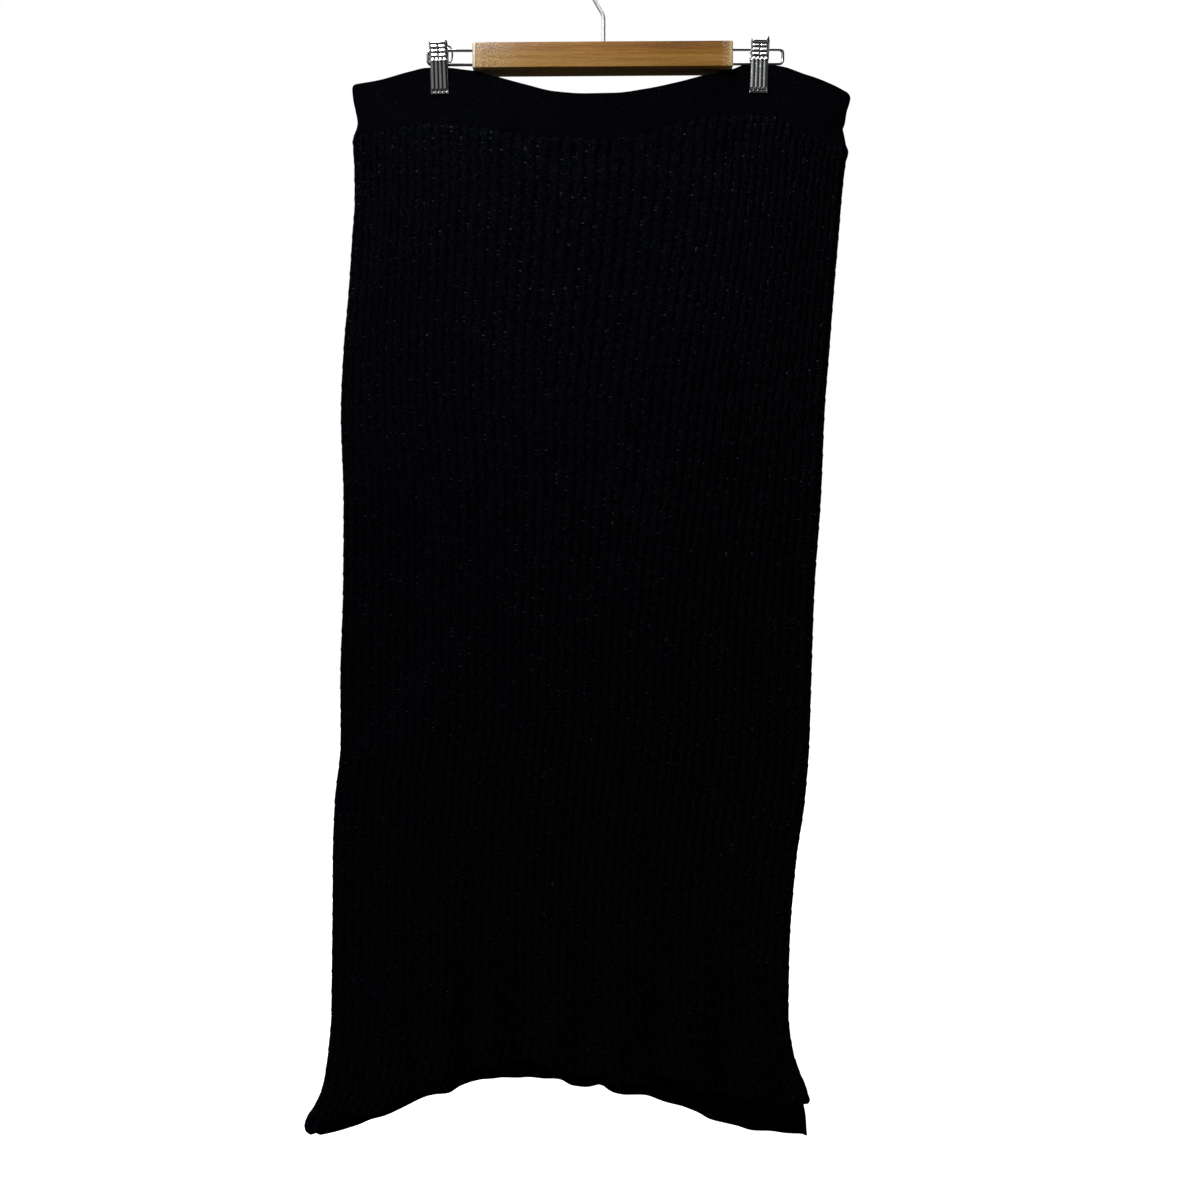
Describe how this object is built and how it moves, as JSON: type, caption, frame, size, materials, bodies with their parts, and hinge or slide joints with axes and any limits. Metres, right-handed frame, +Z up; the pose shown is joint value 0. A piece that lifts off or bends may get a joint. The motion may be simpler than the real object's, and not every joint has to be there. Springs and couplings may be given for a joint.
{
  "type": "maxi skirt on clip hanger",
  "caption": "Long ribbed-knit skirt with a plain knit waistband, clipped flat to a wooden bar hanger with a wire hook and sprung metal clips.",
  "frame": {"origin": "underside of the hook's crown, where a rail carries the hanger", "axes": "+X across the skirt to the right seen from the front, +Y to its back, +Z up"},
  "size_m": [0.5477, 0.045, 1.1862],
  "materials": {
    "ribbed_knit": "near-black ribbed knit with sparse metallic flecks",
    "plain_knit": "near-black fine plain knit",
    "varnished_wood": "glossy amber varnish",
    "chrome": "polished plating",
    "spring_steel": "bright drawn wire"
  },
  "bodies": {
    "root": {"skirt_front": "ribbed_knit", "skirt_back": "ribbed_knit", "waistband_front": "plain_knit", "waistband_back": "plain_knit", "hanger_bar": "varnished_wood", "hanger_hook": "chrome", "rail_left": "chrome", "rail_right": "chrome", "clip_left_front_jaw": "chrome", "clip_left_back_jaw": "chrome", "clip_left_spring": "spring_steel", "clip_right_front_jaw": "chrome", "clip_right_back_jaw": "chrome", "clip_right_spring": "spring_steel"}
  },
  "joints": []
}
